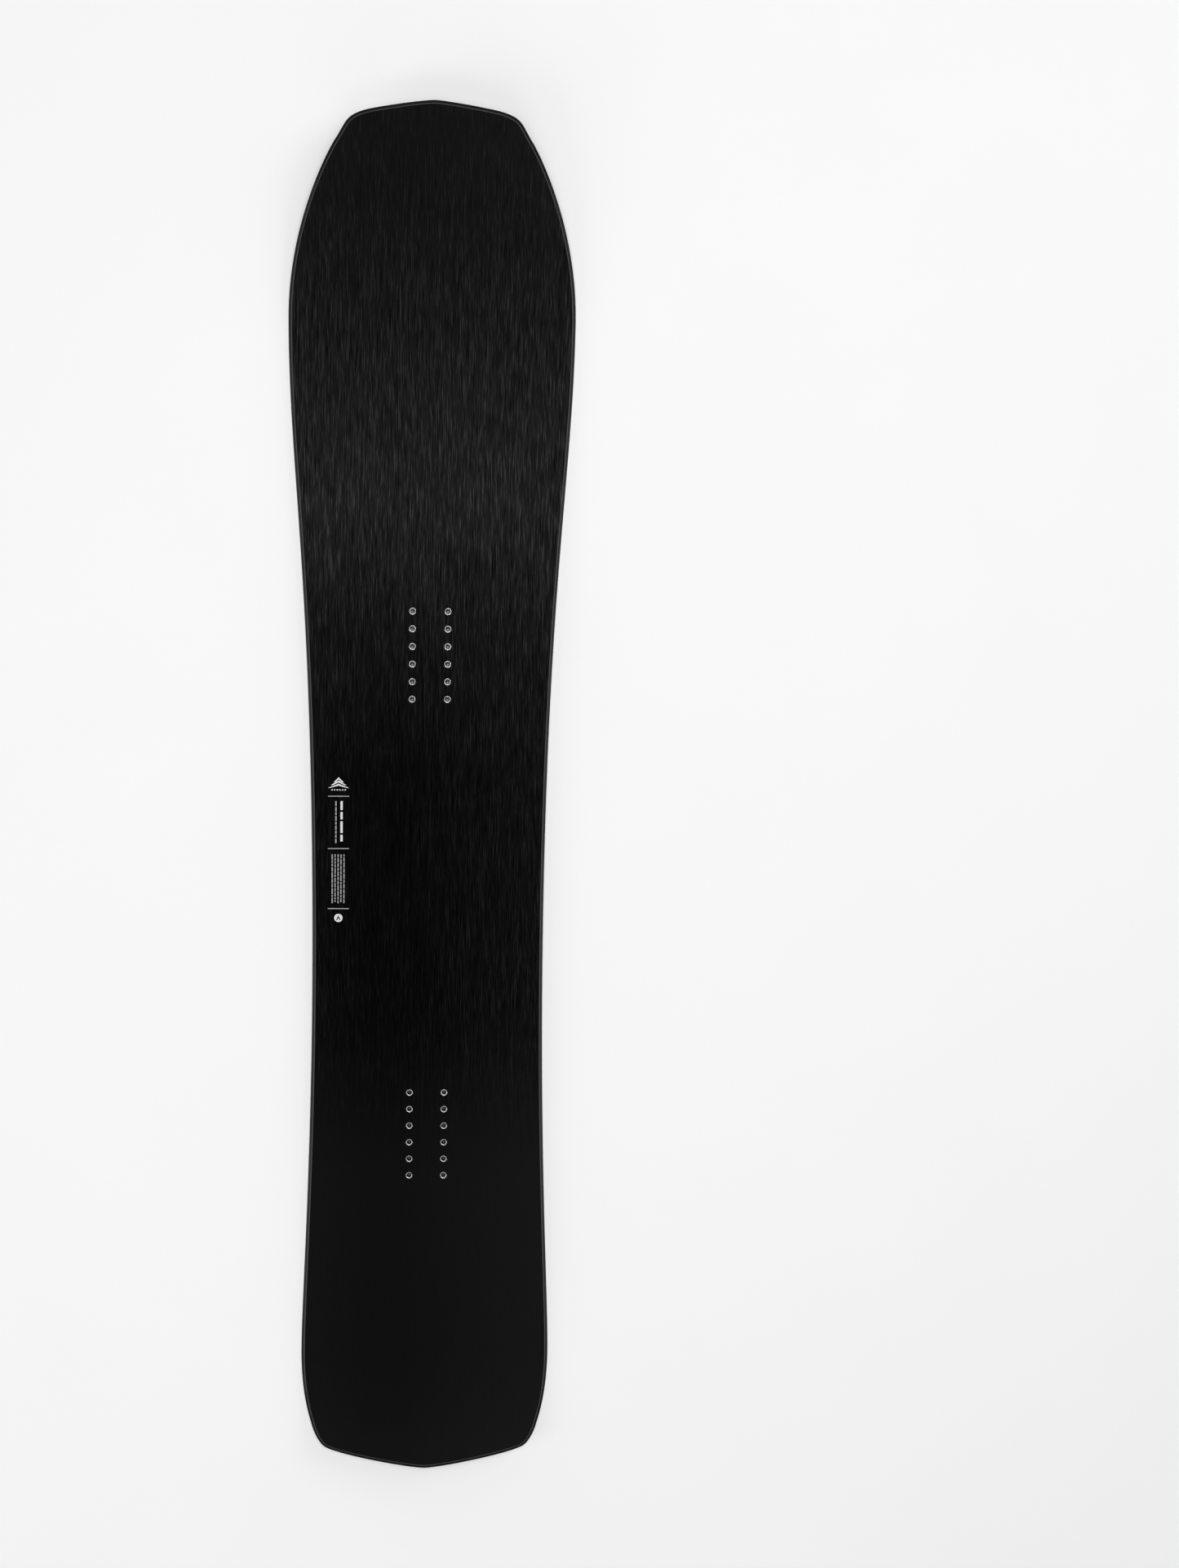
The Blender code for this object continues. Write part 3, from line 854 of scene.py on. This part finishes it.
DOT_RADIUS = 4.8
DOT_SIDES = 48
CHEVRON = ((-2.6, -2.4), (-1.1, -2.4), (0.0, 0.0), (1.1, -2.4), (2.6, -2.4), (0.0, 3.0))


def slab(bm, x0, x1, y0, y1):
    """A thin flat block of ink that follows the deck between two lines."""
    count = max(1, math.ceil((y1 - y0) / INK_STEP))
    sections = []
    for y in np.linspace(y0, y1, count + 1):
        low, high = INK_LOW(y), INK_HIGH(y)
        sections.append([(x0, y, low), (x1, y, low), (x1, y, high), (x0, y, high)])
    loft(bm, sections)


def outline_slab(bm, points, low=INK_LOW, high=INK_HIGH):
    """A thin flat block of ink with the given plan corners."""
    loft(bm, [[(x, y, level(y)) for x, y in points] for level in (low, high)])


def broken_line(bm, rng, x, width, start, end, word, space):
    """Bars of uneven length in a row along the board, where a line of small print would be."""
    y = start
    while y - word[0] > end:
        length = min(rng.uniform(*word), y - end)
        slab(bm, x - width / 2, x + width / 2, y - length, y)
        y -= length + space


def make_peak(bm):
    """Stacked chevrons that make a mountain, over a row of short ticks."""
    for k in range(PEAK_CHEVRONS):
        y = PEAK_Y + PEAK_STEP * k
        half = PRINT_HALF - PEAK_NARROWING * k
        inside = y + PEAK_RISE + PEAK_STEEPENING * k
        points = [
            (PRINT_X - half, y),
            (PRINT_X - half + PEAK_FOOT, y),
            (PRINT_X, inside),
            (PRINT_X + half - PEAK_FOOT, y),
            (PRINT_X + half, y),
            (PRINT_X, inside + PEAK_THICKNESS),
        ]
        outline_slab(bm, points)
    for x in np.linspace(PRINT_X - TICKS_REACH, PRINT_X + TICKS_REACH, TICKS):
        slab(bm, x - TICK_HALF, x + TICK_HALF, *TICKS_Y)


def make_bold_print(rng, paint):
    bm = bmesh.new()
    make_peak(bm)
    broken_line(bm, rng, *BOLD_LINE)
    add_piece("print_bold", finished_mesh(bm, "print_bold"), paint)


def make_light_print(rng, paint):
    bm = bmesh.new()
    for y in RULES_Y:
        slab(bm, PRINT_X - PRINT_HALF, PRINT_X + PRINT_HALF, y - RULE_WIDTH / 2, y + RULE_WIDTH / 2)
    broken_line(bm, rng, *THIN_LINE)
    for x in SMALL_LINES_X:
        broken_line(bm, rng, x, *SMALL_LINE)
    add_piece("print_light", finished_mesh(bm, "print_light"), paint)


def make_dot(paint, mark_paint):
    """A plain round dot with a chevron on it."""
    bm = bmesh.new()
    circle = [DOT_RADIUS * heading(360.0 * k / DOT_SIDES) for k in range(DOT_SIDES)]
    outline_slab(bm, [(PRINT_X + x, DOT_Y + y) for x, y in circle])
    add_piece("print_dot", finished_mesh(bm, "print_dot"), paint)
    bm = bmesh.new()
    points = [(PRINT_X + x, DOT_Y + y) for x, y in CHEVRON]
    outline_slab(bm, points, SECOND_INK_LOW, SECOND_INK_HIGH)
    add_piece("print_dot_mark", finished_mesh(bm, "print_dot_mark"), mark_paint)


def make_print():
    white = ink_paint("ink_white", 0.86, 0.96)
    grey = ink_paint("ink_grey", 0.34, 0.46)
    rng = random.Random(PRINT_SEED)
    make_bold_print(rng, white)
    make_light_print(rng, grey)
    make_dot(white, ink_paint("ink_black", 0.01, 0.03))


def paint_inside():
    """Materials for the CAD nodes that stay: wood, laminate and rubber inside the board."""
    light = wood_paint("core_poplar", (0.42, 0.29, 0.15), (0.74, 0.60, 0.40))
    dark = wood_paint("core_beech", (0.30, 0.18, 0.09), (0.55, 0.38, 0.22))
    glass = laminate_paint("lower_laminate_cloth", (0.30, 0.34, 0.22), (0.66, 0.70, 0.54))
    rubber = rubber_paint()
    paints = {
        "core_inner": light,
        "core_wide": light,
        "core_centre": dark,
        "core_middle": dark,
        "core_outer": dark,
        "lower_laminate": glass,
        "edge_rubber": rubber,
    }
    for name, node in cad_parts.items():
        for start, material in paints.items():
            if name.startswith(start):
                give_material(node.data, material)


# ---------------------------------------------------------------------------------------------------
# Floor, light and camera
# ---------------------------------------------------------------------------------------------------
FLOOR_SIZE = 40.0  # metres
FLOOR_GLOW = 0.30
WALL = (0.10, 0.92)  # height in the sky, with 0 at the horizon and 1 overhead, and grey
CEILING = (0.50, 0.02)
CAMERA_PLACE = (-0.02749, 0.57519, 3.32187)  # metres
CAMERA_TURN = (-9.4093, -3.4892, 0.9387)  # degrees about X, Y and Z, from looking straight down
LENS = 67.43
SENSOR = 36.0

# name, place in metres, size in metres, power in watts
LIGHTS = (
    ("key_box", (2.6, 1.9, 2.4), (1.6, 2.4), 28.0),
    ("fill_box", (-2.8, -1.2, 2.0), (1.6, 2.4), 22.0),
    ("nose_box", (0.3, 3.4, 1.7), (2.4, 1.2), 6.0),
    ("tail_box", (0.3, -3.4, 1.7), (2.4, 1.2), 9.0),
    ("top_box", (0.0, 0.75, 3.6), (1.4, 1.0), 44.0),
    ("rear_box", (0.0, -1.2, 3.6), (1.6, 1.0), 11.0),
)


def make_floor():
    mesh = bpy.data.meshes.new("floor")
    half = FLOOR_SIZE / 2
    corners = [(-half, -half, 0.0), (half, -half, 0.0), (half, half, 0.0), (-half, half, 0.0)]
    mesh.from_pydata(corners, [], [(0, 1, 2, 3)])
    mesh.materials.append(floor_paint())
    new_object("floor", mesh)


def make_lights():
    for name, place, size, power in LIGHTS:
        lamp = bpy.data.lights.new(name, "AREA")
        lamp.shape = "RECTANGLE"
        lamp.size, lamp.size_y = size
        lamp.energy = power
        holder = new_object(name, lamp)
        holder.location = place
        holder.rotation_euler = (-Vector(place)).to_track_quat("-Z", "Y").to_euler()


def make_world():
    """Pale walls down to the floor and a dark ceiling, so that the black deck doesn't wash out."""
    world = bpy.data.worlds.new("studio")
    world.use_nodes = True
    tree = world.node_tree
    background = tree.nodes["Background"]
    place = tree.nodes.new("ShaderNodeTexCoord")
    split = tree.nodes.new("ShaderNodeSeparateXYZ")
    ramp = tree.nodes.new("ShaderNodeValToRGB")
    tree.links.new(place.outputs["Generated"], split.inputs[0])
    tree.links.new(split.outputs["Z"], ramp.inputs["Fac"])
    tree.links.new(ramp.outputs["Color"], background.inputs["Color"])
    ramp.color_ramp.interpolation = "EASE"
    for element, (position, grey) in zip(ramp.color_ramp.elements, (WALL, CEILING)):
        element.position = position
        element.color = (grey, grey, grey, 1.0)
    bpy.context.scene.world = world


def make_camera():
    lens = bpy.data.cameras.new("camera")
    lens.lens = LENS
    lens.sensor_width = SENSOR
    camera = new_object("camera", lens)
    camera.location = CAMERA_PLACE
    camera.rotation_euler = Euler([math.radians(a) for a in CAMERA_TURN], "XYZ")
    bpy.context.scene.camera = camera


def main():
    make_camera()
    make_floor()
    make_lights()
    make_world()
    bpy.context.scene.view_settings.view_transform = "Standard"
    make_topsheet()
    make_upper_laminate()
    make_sidewalls(moulded_paint("sidewall_abs", 0.030))
    make_spacers(moulded_paint("spacer_abs", 0.014))
    make_steel_edges(steel_paint())
    make_base()
    make_inserts()
    make_print()
    paint_inside()


main()
